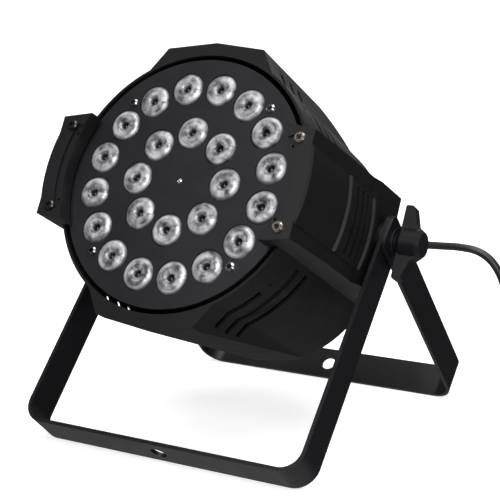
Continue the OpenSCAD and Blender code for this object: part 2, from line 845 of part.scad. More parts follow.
// Steel bush in each cover, which the clamp's stud screws into
module pivot_bushes() {
    color([0.55, 0.55, 0.57]) pivot_frame() both_sides() difference() {
        union() {
            rod_x(bush_r - 5.02, rim_r + 0.4, cover_flank_x);
            rod_x(bush_r, cover_flank_x, bush_face_x);
        }
        rod_x(stud_r + 0.05, 95, 125);
    }
}

// Friction disc between each bush and the front bracket
module pivot_discs() {
    color([0.25, 0.22, 0.2]) pivot_frame() both_sides() difference() {
        rod_x(14, bush_face_x, bush_face_x + disc_t);
        rod_x(stud_r + 0.3, bush_face_x - 1, bush_face_x + 2);
    }
}

// Outline of the clamp knob's two wings, in X (outward) and Z
module wing_outline() {
    mid = knob_x + 4.8;
    polygon([[knob_x + 1, -11], [mid - 3.6, -knob_wing * 0.62], [mid - 3.6, -knob_wing + 1],
             [mid - 2.6, -knob_wing], [mid + 2.2, -knob_wing], [mid + 3.6, -knob_wing + 1],
             [mid + 8, -knob_wing * 0.5], [knob_end_x - 1.5, -9], [knob_end_x - 1.5, 9],
             [mid + 8, knob_wing * 0.5], [mid + 3.6, knob_wing - 1], [mid + 2.2, knob_wing],
             [mid - 2.6, knob_wing], [mid - 3.6, knob_wing - 1], [mid - 3.6, knob_wing * 0.62],
             [knob_x + 1, 11]]);
}

module clamp_knob() {
    difference() {
        union() {
            turn_x([[0, knob_x], [9, knob_x], [11.8, knob_x + 4], [11.8, knob_end_x - 4],
                    [9.5, knob_end_x - 1], [6, knob_end_x], [0, knob_end_x]]);
            along_y(-4.8, 4.8) wing_outline();
        }
        rod_x(stud_r + 0.05, knob_x - 1, knob_end_x - 4);
    }
}

// Threaded stud with its pressed collar, held in the knob
module clamp_bolt() {
    rod_x(stud_r, rim_r + 0.6, knob_end_x - 4.2);
    turn_x([[stud_r - 0.1, rear_half_w + 0.3], [11, rear_half_w + 0.3], [11, rear_half_w + 1.9],
            [8, rear_half_w + 1.9], [8, knob_x], [stud_r - 0.1, knob_x]]);
}

module right_knob() { color([0.07, 0.07, 0.07]) pivot_frame() clamp_knob(); }
module left_knob() { color([0.07, 0.07, 0.07]) pivot_frame() mirror([1, 0, 0]) clamp_knob(); }
module right_clamp_bolt() { color("silver") pivot_frame() clamp_bolt(); }
module left_clamp_bolt() { color("silver") pivot_frame() mirror([1, 0, 0]) clamp_bolt(); }

// ---------- mains lead ----------

// Direction of a route at one of its points
function route_way(pts, i) =
    let (a = pts[max(i - 1, 0)], b = pts[min(i + 1, len(pts) - 1)]) (b - a) / norm(b - a);

// Ring of points round a route's point, square to the route
function route_ring(pts, i, r, sides) =
    let (w = route_way(pts, i), u0 = cross(w, [0.1, 0.2, 1]), u = u0 / norm(u0), v = cross(w, u))
        [for (k = [0 : sides - 1])
            let (a = k * 360 / sides) pts[i] + r * (cos(a) * u + sin(a) * v)];

// Round tube that follows a route
module tube(pts, r, sides = 12) {
    rings = len(pts);
    points = [for (i = [0 : rings - 1]) each route_ring(pts, i, r, sides)];
    sides_faces = [for (i = [0 : rings - 2], k = [0 : sides - 1])
                      let (a = i * sides + k, b = i * sides + (k + 1) % sides)
                          each [[a, b, a + sides], [b, b + sides, a + sides]]];
    ends = [[for (k = [0 : sides - 1]) sides - 1 - k],
            [for (k = [0 : sides - 1]) (rings - 1) * sides + k]];
    polyhedron(points, concat(sides_faces, ends));
}

module power_cord() {
    color([0.05, 0.05, 0.05]) tube(cord_route, cord_d / 2);
}

// Outer shape of the wound lead: up to three turns wide and two turns high
module cord_coil() {
    color([0.05, 0.05, 0.05]) translate([coil_at[0], coil_at[1], 0]) rotate_extrude()
        translate([coil_mid_r, (coil_lift + coil_top) / 2])
            round_rect(coil_width, coil_top - coil_lift, cord_d / 2);
}

module cord_tail() {
    color([0.05, 0.05, 0.05]) tube(tail_route, cord_d / 2);
}

// Strap round the coil's turns
module cord_tie() {
    color([0.3, 0.3, 0.3]) translate([coil_at[0], coil_at[1], 0]) rotate([0, 0, tie_angle])
        translate([coil_mid_r, 5, (coil_lift + coil_top) / 2]) rotate([90, 0, 0])
            linear_extrude(10) difference() {
                round_rect(coil_width + 2, coil_top - coil_lift + 2, cord_d / 2 + 1);
                round_rect(coil_width, coil_top - coil_lift, cord_d / 2);
            }
}

// Moulded mains plug that lies beside the coil, its blades towards the front
module power_plug() {
    relief = 22;
    body = 34;
    blade = 17;
    translate([plug_x, plug_back_y, plug_z]) rotate([90, 0, 0]) {
        color([0.05, 0.05, 0.05]) cylinder(r1 = 4.6, r2 = 6.5, h = relief);
        color([0.05, 0.05, 0.05]) translate([0, 0, relief]) linear_extrude(body)
            round_rect(27, 25, 8);
        color("silver") for (s = [-1, 1])
            translate([s * 6.35 - 0.75, 0.5, relief + body]) cube([1.5, 6.4, blade]);
        color("silver") translate([0, -8, relief + body]) cylinder(r = 2.4, h = blade + 3);
    }
}

front_bracket();
bracket_discs();
rear_bracket();
upper_casing();
lower_casing();
left_cover();
right_cover();
cover_screws();
front_plate();
plate_screws();
plate_posts();
outer_lenses();
inner_lenses();
lens_holders();
leds();
led_board();
heat_sink();
chassis_plate();
fan_frame();
fan_rotor();
power_supply();
driver_board();
control_board();
display_module();
rear_panel();
rear_screws();
fan_guard();
display_window();
button_1();
button_2();
button_3();
button_4();
dmx_in();
dmx_out();
dmx_latch();
fuse_holder();
fuse_cap();
safety_lug();
cord_gland();
strain_relief();
pivot_bushes();
pivot_discs();
left_knob();
left_clamp_bolt();
right_knob();
right_clamp_bolt();
power_cord();
cord_coil();
cord_tail();
cord_tie();
power_plug();
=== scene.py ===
"""Looks of the stage par light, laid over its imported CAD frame. Lengths are in metres."""

import json
import math

import bpy
from mathutils import Matrix, Vector


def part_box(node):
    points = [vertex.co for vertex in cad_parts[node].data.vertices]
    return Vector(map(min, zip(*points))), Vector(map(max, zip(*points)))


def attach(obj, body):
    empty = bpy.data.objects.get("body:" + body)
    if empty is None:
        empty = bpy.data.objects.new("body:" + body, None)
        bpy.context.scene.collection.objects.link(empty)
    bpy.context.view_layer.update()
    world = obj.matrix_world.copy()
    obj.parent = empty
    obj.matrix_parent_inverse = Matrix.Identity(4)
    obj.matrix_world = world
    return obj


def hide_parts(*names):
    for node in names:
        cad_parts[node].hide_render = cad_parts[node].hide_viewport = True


MM = 0.001
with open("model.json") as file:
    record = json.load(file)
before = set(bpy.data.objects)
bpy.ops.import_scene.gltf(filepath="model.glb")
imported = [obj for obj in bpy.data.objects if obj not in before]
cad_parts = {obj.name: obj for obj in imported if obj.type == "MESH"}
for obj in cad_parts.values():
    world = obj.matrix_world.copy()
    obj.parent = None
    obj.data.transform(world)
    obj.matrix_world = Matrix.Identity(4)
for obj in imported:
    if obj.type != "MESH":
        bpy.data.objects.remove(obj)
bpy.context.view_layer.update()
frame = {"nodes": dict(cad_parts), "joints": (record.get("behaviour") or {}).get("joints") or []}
nodes = frame["nodes"]
joints = {joint["name"]: joint for joint in frame["joints"]}

# The level head's frame, from the tilt joint's place and the fan's axis
PIVOT = Vector(joints["head_tilt"]["pos_m"])
PIVOT_RISE = 4 * MM
REARWARD = Vector(joints["fan_spin"]["axis"])
TILT = math.atan2(REARWARD.z, REARWARD.y)
HEAD = (Matrix.Translation(PIVOT) @ Matrix.Rotation(TILT, 4, "X")
        @ Matrix.Translation((0, 0, -PIVOT_RISE)))

# Sizes that part.scad also has, in its frame of the level head
PLATE_Y = -116 * MM
PANEL_FACE = 71 * MM
OUTER_RING_R, OUTER_COUNT = 75 * MM, 16
INNER_RING_R, INNER_COUNT = 38.5 * MM, 8
GLAND = (46 * MM, 47 * MM)
RELIEF_START = PANEL_FACE + 14 * MM
RELIEF_END = PANEL_FACE + 38 * MM
BLADE_LENGTH = 19.8 * MM
COVER_SCREW_X, COVER_SCREW_Z = 99.4 * MM, 33 * MM
PLATE_SCREW_R = 85.7 * MM
PLATE_SCREW_ANGLES = [math.radians(a) for a in (45, 135, 225, 315)]


def head_point(x, y, z):
    """A point of the level head's frame, in the row frame."""
    return HEAD @ Vector((x, y, z))


# ---------- camera and mains lead ----------


CAMERA_PLACE = (0.5090, -0.8624, 0.3286)
CAMERA_RIGHT = (0.8609, 0.5088, 0.0)
CAMERA_FORWARD = (-0.5003, 0.8463, -0.1829)
CAMERA_LENS, CAMERA_SENSOR = 89.8, 36


def make_camera():
    """The photograph's view: in front, on right_knob's side, a little above, with no roll."""
    right = Vector(CAMERA_RIGHT)
    forward = Vector(CAMERA_FORWARD).normalized()
    right = (right - forward * right.dot(forward)).normalized()
    up = right.cross(forward)
    data = bpy.data.cameras.new("camera")
    data.lens, data.sensor_width = CAMERA_LENS, CAMERA_SENSOR
    camera = bpy.data.objects.new("camera", data)
    camera.matrix_world = Matrix.Translation(CAMERA_PLACE) @ Matrix(
        (right, up, -forward)).transposed().to_4x4()
    bpy.context.scene.collection.objects.link(camera)
    bpy.context.scene.camera = camera


CORD_D = 7 * MM
COIL_X, COIL_Y = 250 * MM, 96.5 * MM
COIL_LOW_Z, COIL_HIGH_Z = 4.5 * MM, 11.5 * MM
COIL_OUTER_R = 49 * MM
COIL_TURNS = 4.25
# Turns on the floor, and the share of a turn in which the lead then climbs onto them
COIL_LOW_TURNS, COIL_CLIMB = 2, 0.3
CORD_ROUTE_MM = [
    (49, 131, 139.8), (57, 142, 134.8), (70, 149, 131.8), (86, 152, 131), (104, 152, 131.5),
    (122, 152, 132), (138, 152, 130), (150, 152, 123.5), (159, 152, 112), (165, 151.5, 97),
    (169, 151, 78), (172, 150, 60), (176, 149, 42), (184, 148, 25), (196, 147, 12),
    (212, 146, 6), (230, 145.5, 4.8),
]
TAIL_ROUTE_MM = [
    (299.2, 86, 11.5), (300.2, 76, 11.8), (301.5, 67, 12.4), (302, 58, 12.5), (302, 54, 12.5),
]


def smooth_line(points, steps):
    """A Catmull-Rom curve through the points, with that many steps between two of them."""
    ends = [points[0] * 2 - points[1]] + points + [points[-1] * 2 - points[-2]]
    line = []
    for a, b, c, d in zip(ends, ends[1:], ends[2:], ends[3:]):
        for i in range(steps):
            t = i / steps
            line.append(0.5 * (2 * b + (c - a) * t + (2 * a - 5 * b + 4 * c - d) * t ** 2
                               + (3 * b - a - 3 * c + d) * t ** 3))
    return line + [points[-1]]


def coil_points():
    """Two turns that spiral inwards on the floor, then up and outwards on top of them."""
    steps = 44
    points = []
    for i in range(int(COIL_TURNS * steps) + 1):
        turn = i / steps
        if turn <= COIL_LOW_TURNS:
            r, z = COIL_OUTER_R - turn * CORD_D, COIL_LOW_Z
        else:
            over = turn - COIL_LOW_TURNS
            climb = min(1, over / COIL_CLIMB)
            climb = climb * climb * (3 - 2 * climb)
            z = COIL_LOW_Z + climb * (COIL_HIGH_Z - COIL_LOW_Z)
            r = (COIL_OUTER_R - COIL_LOW_TURNS * CORD_D
                 + over / (COIL_TURNS - COIL_LOW_TURNS) * COIL_LOW_TURNS * CORD_D)
        a = math.pi / 2 - turn * 2 * math.pi
        points.append(Vector((COIL_X + r * math.cos(a), COIL_Y + r * math.sin(a), z)))
    return points


def make_mains_lead(material):
    """One smooth curve from the gland to the plug, with its coil."""
    start = [head_point(GLAND[0], PANEL_FACE + 6 * MM, GLAND[1]),
             head_point(GLAND[0], PANEL_FACE + 22 * MM, GLAND[1]),
             head_point(GLAND[0], RELIEF_END, GLAND[1])]
    route = start + [Vector(p) * MM for p in CORD_ROUTE_MM]
    coil = coil_points()
    tail = [Vector(p) * MM for p in TAIL_ROUTE_MM]
    line = (smooth_line(route + coil[:1], 5)[:-1] + coil[:-1]
            + smooth_line([coil[-1]] + tail, 5))
    curve = bpy.data.curves.new("mains_lead", "CURVE")
    curve.dimensions = "3D"
    curve.bevel_depth, curve.bevel_resolution = CORD_D / 2, 4
    curve.use_fill_caps = True
    spline = curve.splines.new("POLY")
    spline.points.add(len(line) - 1)
    for point, place in zip(spline.points, line):
        point.co = (*place, 1)
    spline.use_smooth = True
    lead = bpy.data.objects.new("mains_lead", curve)
    bpy.context.scene.collection.objects.link(lead)
    curve.materials.append(material)
    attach(lead, "head")
    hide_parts("power_cord", "cord_coil", "cord_tail")


# ---------- materials ----------


class Nodes:
    """Short calls for building one material's nodes."""

    def __init__(self, name):
        self.material = bpy.data.materials.new(name)
        self.material.use_nodes = True
        self.tree = self.material.node_tree
        self.shader = self.tree.nodes["Principled BSDF"]
        self.place = self.tree.nodes.new("ShaderNodeTexCoord").outputs["Object"]

    def add(self, kind, inputs=(), **settings):
        made = self.tree.nodes.new(kind)
        for name, value in settings.items():
            setattr(made, name, value)
        for name, value in dict(inputs).items():
            self.join(value, made.inputs[name])
        return made

    def join(self, value, socket):
        if isinstance(value, bpy.types.NodeSocket):
            self.tree.links.new(value, socket)
        else:
            socket.default_value = value

    def noise(self, scale, detail=3.0, where=None):
        return self.add("ShaderNodeTexNoise", {"Vector": where or self.place, "Scale": scale,
                                               "Detail": detail}).outputs["Fac"]

    def cells(self, scale):
        return self.add("ShaderNodeTexVoronoi", {"Vector": self.place, "Scale": scale}
                        ).outputs["Distance"]

    def ramp(self, factor, stops):
        made = self.add("ShaderNodeValToRGB", {"Fac": factor})
        elements = made.color_ramp.elements
        while len(elements) < len(stops):
            elements.new(0.5)
        for element, (at, colour) in zip(elements, stops):
            element.position, element.color = at, (*colour, 1)
        return made.outputs["Color"]

    def mix(self, factor, first, second, blend="MIX"):
        made = self.add("ShaderNodeMix", data_type="RGBA", blend_type=blend)
        for value, socket in ((factor, 0), (first, 6), (second, 7)):
            if isinstance(value, tuple):
                value = (*value, 1)
            self.join(value, made.inputs[socket])
        return made.outputs[2]

    def between(self, factor, low, high):
        return self.add("ShaderNodeMapRange", {"Value": factor, "To Min": low, "To Max": high}
                        ).outputs["Result"]

    def maths(self, operation, a, b=0.0):
        made = self.add("ShaderNodeMath", operation=operation)
        self.join(a, made.inputs[0])
        self.join(b, made.inputs[1])
        return made.outputs[0]

    def bump(self, height, distance, strength=1.0, after=None):
        made = self.add("ShaderNodeBump", {"Height": height, "Distance": distance,
                                           "Strength": strength})
        if after:
            self.join(after, made.inputs["Normal"])
        return made.outputs["Normal"]

    def finish(self, **sockets):
        for name, value in sockets.items():
            self.join(value, self.shader.inputs[name.replace("_", " ")])
        return self.material


def grey(value, blue=1.0):
    return (value, value, value * blue)


def coat(name, low, high, rough, grain, depth, blue=1.0, metal=0.0, shine=0.5):
    """Paint with a fine grain, cloudy tone and slightly worn gloss."""
    n = Nodes(name)
    cloud = n.noise(18, 4)
    fine = n.noise(grain, 2)
    colour = n.ramp(cloud, [(0.3, grey(low, blue)), (0.7, grey(high, blue))])
    gloss = n.between(n.noise(60, 3), rough - 0.06, rough + 0.06)
    return n.finish(Base_Color=colour, Roughness=gloss, Normal=n.bump(fine, depth),
                    Metallic=metal, Specular_IOR_Level=shine)


def metal(name, colour, rough):
    """Bare or plated metal with faint brushing and duller patches."""
    n = Nodes(name)
    stretched = n.add("ShaderNodeMapping", {"Vector": n.place, "Scale": (1, 1, 9)}
                      ).outputs["Vector"]
    brushed = n.noise(260, 2, stretched)
    dark = tuple(c * 0.75 for c in colour)
    tone = n.ramp(n.noise(90, 3), [(0.3, dark), (0.7, colour)])
    return n.finish(Base_Color=tone, Metallic=1.0, Normal=n.bump(brushed, 0.05 * MM, 0.3),
                    Roughness=n.between(n.noise(140, 3), rough - 0.05, rough + 0.08))


def socket_screw(name, colour, rough, centres, socket_r, left_shade_amount):
    """Plated heads whose sockets within socket_r of their axes are painted near-black as shade, with
    painted shade darkening the heads on left_cover's side.
    """
    n = Nodes(name)
    level = n.add("ShaderNodeVectorMath", {0: n.place, 1: tuple(-PIVOT)}, operation="ADD")
    turned = n.add("ShaderNodeVectorRotate", {"Vector": level.outputs[0], "Angle": -TILT},
                   rotation_type="X_AXIS")
    part = n.add("ShaderNodeSeparateXYZ", {"Vector": turned.outputs[0]})
    nearest = None
    for x, z in centres:
        dx = n.maths("SUBTRACT", part.outputs["X"], x)
        dz = n.maths("SUBTRACT", part.outputs["Z"], z - PIVOT_RISE)
        away = n.maths("SQRT", n.maths("ADD", n.maths("MULTIPLY", dx, dx),
                                       n.maths("MULTIPLY", dz, dz)))
        nearest = away if nearest is None else n.maths("MINIMUM", nearest, away)
    ring = n.maths("GREATER_THAN", nearest, socket_r)
    dark = tuple(c * 0.75 for c in colour)
    tone = n.ramp(n.noise(400, 3), [(0.3, dark), (0.7, colour)])
    # Painted shade: heads on left_cover's side are mixed this far towards near-black
    left_painted_shade = n.maths("MULTIPLY", n.maths("LESS_THAN", part.outputs["X"], 0.0), left_shade_amount)
    tone = n.mix(left_painted_shade, tone, grey(0.02))
    # Painted shade: within socket_r of each axis the head is near-black and not metallic, standing in
    # for the shade in the socket
    return n.finish(Base_Color=n.mix(ring, grey(0.006), tone), Metallic=ring,
                    Roughness=n.between(n.noise(300, 3), rough - 0.05, rough + 0.08),
                    Normal=n.bump(n.noise(1600, 2), 0.02 * MM, 0.4))


def plastic(name, colour, rough, grain=900, depth=0.02 * MM, shine=0.5):
    """Moulded plastic with a fine spark texture."""
    n = Nodes(name)
    lighter = tuple(min(1, c * 1.35 + 0.002) for c in colour)
    tone = n.ramp(n.noise(45, 3), [(0.35, colour), (0.7, lighter)])
    return n.finish(Base_Color=tone, Normal=n.bump(n.cells(grain), depth, 0.6),
                    Roughness=n.between(n.noise(110, 3), rough - 0.05, rough + 0.07),
                    Specular_IOR_Level=shine)


def rubber(name, colour, rough):
    """Soft sheath with a drawn surface and a slight bloom."""
    n = Nodes(name)
    bloom = tuple(c * 1.8 + 0.004 for c in colour)
    tone = n.ramp(n.noise(80, 4), [(0.4, colour), (0.8, bloom)])
    return n.finish(Base_Color=tone, Normal=n.bump(n.noise(420, 2), 0.05 * MM, 0.5),
                    Roughness=n.between(n.noise(150, 2), rough - 0.06, rough + 0.08))


def lens_material():
    """Clear optic with painted reflection and shade: a near-black well of painted shade, cloudy rings
    round it and a few streaks of painted reflection, and a darker outline.
    """
    n = Nodes("lens_painted_reflections")
    uv = n.add("ShaderNodeUVMap", uv_map="polar").outputs["UV"]
    fine = n.add("ShaderNodeMapping", {"Vector": uv, "Scale": (9, 1.2, 1)}).outputs["Vector"]
    wide = n.add("ShaderNodeMapping", {"Vector": uv, "Scale": (3.2, 2.9, 1)}).outputs["Vector"]
    # Painted reflection: streaks and cloudy rings that stand in for what the clear lens reflects
    fan = n.noise(1.0, 2, fine)
    rings = n.noise(1.0, 3, wide)
    both = n.maths("ADD", n.maths("MULTIPLY", fan, 0.35), n.maths("MULTIPLY", rings, 0.65))
    tone = n.ramp(both, [(0.38, grey(0.07, 1.1)), (0.46, grey(0.22, 1.08)),
                         (0.54, grey(0.42, 1.06)), (0.66, grey(0.68, 1.04))])
    # Painted shade and reflection by distance from the axis: near-black in the well, bright rings
    # round it, darker towards the outline
    out = n.maths("FRACT", n.add("ShaderNodeSeparateXYZ", {"Vector": uv}).outputs["Y"])
    bands = n.ramp(out, [(0.0, grey(0.02)), (0.2, grey(0.02)), (0.25, grey(0.75)),
                         (0.32, grey(0.5)), (0.45, grey(0.95)), (0.8, grey(1.0)),
                         (0.88, grey(0.6)), (0.92, grey(0.25))])
    return n.finish(Base_Color=n.mix(1.0, tone, bands, "MULTIPLY"), Metallic=0.4,
                    Roughness=n.between(fan, 0.2, 0.45), Normal=n.bump(both, 0.4 * MM, 0.6),
                    Coat_Weight=0.2, Coat_Roughness=0.15)


def window_material():
    """Dark tinted acrylic with faint scuffs."""
    n = Nodes("tinted_window")
    tone = n.ramp(n.noise(60, 3), [(0.4, (0.012, 0.002, 0.002)), (0.7, (0.03, 0.004, 0.004))])
    return n.finish(Base_Color=tone, Roughness=n.between(n.noise(300, 3), 0.06, 0.16),
                    Coat_Weight=0.5)


def strap_material():
    """Woven strap."""
    n = Nodes("strap_weave")
    weave = n.add("ShaderNodeTexChecker", {"Vector": n.place, "Scale": 1400}).outputs["Fac"]
    tone = n.ramp(n.noise(300, 3), [(0.3, grey(0.015)), (0.7, grey(0.04))])
    return n.finish(Base_Color=tone, Roughness=0.9, Normal=n.bump(weave, 0.1 * MM, 0.6),
                    Sheen_Weight=0.3)


def plug_material():
    """Moulded body with plated blades, which are all that lies past the body's front."""
    n = Nodes("plug_body_and_blades")
    low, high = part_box("power_plug")
    along = n.add("ShaderNodeSeparateXYZ", {"Vector": n.place}).outputs["Y"]
    blade = n.maths("LESS_THAN", along, low[1] + BLADE_LENGTH)
    body = n.ramp(n.noise(60, 3), [(0.4, grey(0.012)), (0.7, grey(0.022))])
    plated = n.ramp(n.noise(160, 3), [(0.3, (0.5, 0.46, 0.38)), (0.7, (0.72, 0.68, 0.6))])
    return n.finish(Base_Color=n.mix(blade, body, plated), Metallic=blade,
                    Roughness=n.between(n.noise(120, 2), 0.3, 0.44))


# ---------- mesh pieces ----------


def piece(name, verts, faces, material, body, uvs=None, smooth=True):
    """A mesh in the row frame that rides on a CAD body."""
    mesh = bpy.data.meshes.new(name)
    mesh.from_pydata([tuple(v) for v in verts], [], faces)
    if uvs:
        layer = mesh.uv_layers.new(name="polar")
        for corner, uv in zip(layer.data, uvs):
            corner.uv = uv
    mesh.shade_smooth() if smooth else mesh.shade_flat()
    mesh.materials.append(material)
    made = bpy.data.objects.new(name, mesh)
    bpy.context.scene.collection.objects.link(made)
    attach(made, body)
    return made


LENS_SECTORS = 48
# Where the reflector's faces ripple, and what the outline's distance is divided by for the map
RIPPLE_FROM_MM, RIPPLE_TO_MM = 4.4, 12
RIPPLE_HEIGHT_MM = 0.06
LENS_MAP_MM = 13.2
# A lens from its well to its edge and back: distance from the axis, depth from the plate's face
LENS_PROFILE_MM = [
    (0, 3.4), (1.8, 3.3), (2.6, 2.6), (2.9, 0.4), (3.3, -1.0), (4.2, -1.5), (5.2, -1.75),
    (6.6, -1.8), (8.2, -1.65), (9.8, -1.3), (11.2, -0.75), (12.2, -0.15), (12.8, 0.3),
    (13.0, 0.8), (13.0, 3.0), (12.2, 3.0), (8.4, 9.0), (4.6, 15.0),
]


def make_lenses(name, node, ring_r, count, first, material):
    """One ring of lenses, each a turned dish whose sectors are tilted a little in turn."""
    verts, faces, uvs = [], [], []
    rows = len(LENS_PROFILE_MM)
    for index in range(count):
        at = first + index * 2 * math.pi / count
        centre = Vector((ring_r * math.cos(at), PLATE_Y, ring_r * math.sin(at)))
        base = len(verts)
        for sector in range(LENS_SECTORS):
            a = sector * 2 * math.pi / LENS_SECTORS
            ripple = (RIPPLE_HEIGHT_MM * math.cos(a * 11 + index)
                      + RIPPLE_HEIGHT_MM * math.cos(a * 5 + 2.3 * index))
            for r, y in LENS_PROFILE_MM:
                lift = ripple if RIPPLE_FROM_MM < r < RIPPLE_TO_MM and y < 0 else 0
                verts.append(HEAD @ (centre + Vector((r * math.cos(a), y + lift,
                                                      r * math.sin(a))) * MM))
        for sector in range(LENS_SECTORS):
            after = (sector + 1) % LENS_SECTORS
            for row in range(rows - 1):
                corners = ((sector, row), (after, row), (after, row + 1), (sector, row + 1))
                faces.append([base + s * rows + q for s, q in corners])
                for step, q in ((0, row), (1, row), (1, row + 1), (0, row + 1)):
                    uvs.append((index * 1.37 + (sector + step) / LENS_SECTORS,
                                LENS_PROFILE_MM[q][0] / LENS_MAP_MM + index))
    made = piece(name, verts, faces, material, "head", uvs)
    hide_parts(node)


def make_centre_screw(material):
    """Small slotted screw in the middle of the lamp plate."""
    sides, slot_half, slot_depth = 40, 0.35, 0.5
    # Outline of the head in millimetres: distance from the axis, depth from the plate's face
    rows = [(2.1, 0.2), (2.1, -0.35), (1.7, -0.8), (1.0, -1.0)]
    verts, faces = [], []
    for r, y in rows:
        for k in range(sides):
            a = k * 2 * math.pi / sides
            x, z = r * math.cos(a), r * math.sin(a)
            sunk = slot_depth if abs(x - z) < 2 * slot_half and y < -slot_depth else 0
            verts.append(HEAD @ (Vector((x, y + sunk, z)) * MM + Vector((0, PLATE_Y, 0))))
    for row in range(len(rows) - 1):
        for k in range(sides):
            m = (k + 1) % sides
            faces.append([row * sides + k, row * sides + m, (row + 1) * sides + m,
                          (row + 1) * sides + k])
    faces.append([(len(rows) - 1) * sides + k for k in range(sides)])
    piece("plate_centre_screw", verts, faces, material, "head", smooth=False)


# The shield's arc about the head's axis in degrees, and its outline in millimetres
SHIELD_FROM, SHIELD_SPAN, SHIELD_STEPS = -66, 48, 28
SHIELD_OUTLINE_MM = [(95, 38), (97, 36), (97, 58), (97, 72), (95, 74)]
SHIELD_THICKNESS = 0.6 * MM


def make_vent_shade_sheet(material):
    """Curved black sheet between the light engine and the lower right vents, with folded edges, put
    there as painted shade to keep those vents dark.
    """
    steps, rows = SHIELD_STEPS, SHIELD_OUTLINE_MM
    verts, faces = [], []
    for i in range(steps):
        a = math.radians(SHIELD_FROM + i * SHIELD_SPAN / (steps - 1))
        for r, depth in rows:
            verts.append(HEAD @ Vector((r * math.cos(a) * MM, PLATE_Y + depth * MM,
                                        r * math.sin(a) * MM)))
    for i in range(steps - 1):
        for k in range(len(rows) - 1):
            here = i * len(rows) + k
            faces.append([here, here + 1, here + len(rows) + 1, here + len(rows)])
    shield = piece("vent_shade_sheet", verts, faces, material, "head")
    shield.modifiers.new("sheet", "SOLIDIFY").thickness = SHIELD_THICKNESS


# Edges sharper than this many degrees are rounded
EDGE_ANGLE = 34


def soften(names, width):
    """Rounds the edges of CAD nodes so that they catch the light."""
    for name in names:
        weld = nodes[name].modifiers.new("weld", "WELD")
        weld.merge_threshold = 0.005 * MM
        bevel = nodes[name].modifiers.new("edges", "BEVEL")
        bevel.width, bevel.segments = width, 2
        bevel.limit_method, bevel.angle_limit = "ANGLE", math.radians(EDGE_ANGLE)
        nodes[name].modifiers.new("normals", "WEIGHTED_NORMAL")


def dress(material, *names):
    for name in names:
        nodes[name].data.materials.clear()
        nodes[name].data.materials.append(material)


def make_boot(material):
    """Strain relief: a tapered boot with grooves that let it bend."""
    steps, ribs, sides = 49, 6, 32
    # Millimetres: radius at the panel, how much it narrows, and how deep the grooves are
    wide, taper, groove_depth = 6.2, 1.6, 1.4
    verts, faces = [], []
    for i in range(steps):
        t = i / (steps - 1)
        groove = 0.5 * max(0, math.sin(t * ribs * 2 * math.pi)) * (0.06 < t < 0.9)
        r = (wide - taper * t - groove_depth * groove) * MM
        for k in range(sides):
            a = k * 2 * math.pi / sides
            verts.append(head_point(GLAND[0] + r * math.cos(a),
                                    RELIEF_START + t * (RELIEF_END - RELIEF_START),
                                    GLAND[1] + r * math.sin(a)))
    for i in range(steps - 1):
        for k in range(sides):
            m = (k + 1) % sides
            faces.append([i * sides + k, i * sides + m, (i + 1) * sides + m, (i + 1) * sides + k])
    faces.append([(steps - 1) * sides + k for k in range(sides)])
    made = piece("strain_relief_boot", verts, faces, material, "head")
    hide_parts("strain_relief")


# ---------- surroundings ----------

FLOOR_HALF_WIDTH = 60
FLOOR_GLOW = 0.6
# What reflections see of the room at each height, from straight down to straight up
ROOM_BANDS = [(-1, 0.3), (-0.72, 0.28), (-0.5, 0.05), (0, 0.05), (0.15, 0.13), (1, 0.13)]
ROOM_STRENGTH = 1.1
# The overhead panel's strength, its width as an angle and its lean, in degrees
SUN_STRENGTH, SUN_ANGLE, SUN_LEAN = 2.0, 52, (6, 8)
LAMPS_AIM = (0, 0, 0.15)
# Each lamp's name, place, power and width
LAMPS = [
    ("key", (1.0, -1.3, 0.8), 9, 0.8),
    ("front", (0.1, -1.25, 1.1), 9, 0.5),
    ("rim", (-0.3, 1.7, 1.2), 9, 0.9),
]


